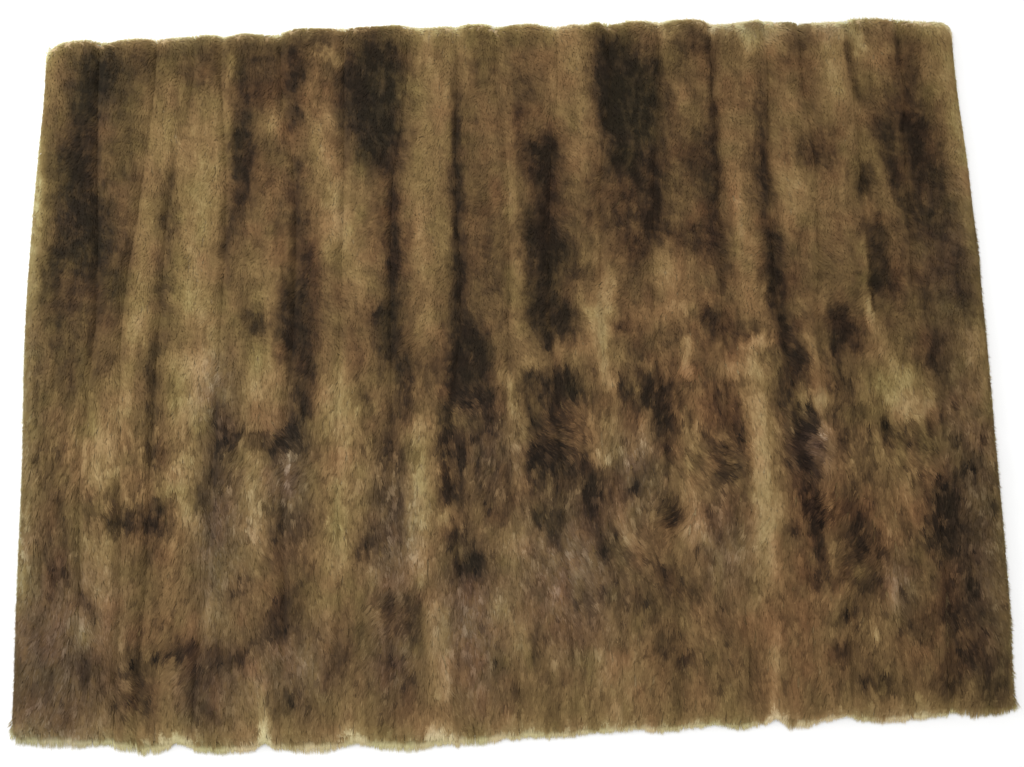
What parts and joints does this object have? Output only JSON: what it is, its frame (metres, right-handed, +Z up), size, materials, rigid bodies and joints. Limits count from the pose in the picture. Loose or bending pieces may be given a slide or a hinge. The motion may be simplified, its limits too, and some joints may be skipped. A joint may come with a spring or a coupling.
{
  "type": "beaver fur throw",
  "caption": "Rectangular fur throw lying flat, sewn from long pelts side by side, with soft locks over its rim; covers a bed, a sofa or a floor.",
  "frame": {"origin": "on the floor under the middle of the throw's bounding box", "axes": "+X across the pelts along the throw's long side, +Y up the nap towards the smooth top edge, +Z up from the floor"},
  "size_m": [2.0292, 1.5312, 0.0342],
  "materials": {
    "fur_dark": "dense dark brown fur, soft sheen",
    "fur_brown": "dense brown fur, soft sheen",
    "fur_tan": "dense tan fur, soft sheen"
  },
  "bodies": {
    "root": {"pelt_01": "fur_dark", "pelt_02": "fur_brown", "pelt_03": "fur_tan", "pelt_04": "fur_tan", "pelt_05": "fur_brown", "pelt_06": "fur_brown", "pelt_07": "fur_dark", "pelt_08": "fur_tan", "pelt_09": "fur_brown", "pelt_10": "fur_brown", "pelt_11": "fur_tan", "pelt_12": "fur_dark", "pelt_13": "fur_brown", "pelt_14": "fur_tan", "pelt_15": "fur_brown", "pelt_16": "fur_brown", "pelt_17": "fur_tan", "pelt_18": "fur_dark"}
  },
  "joints": []
}
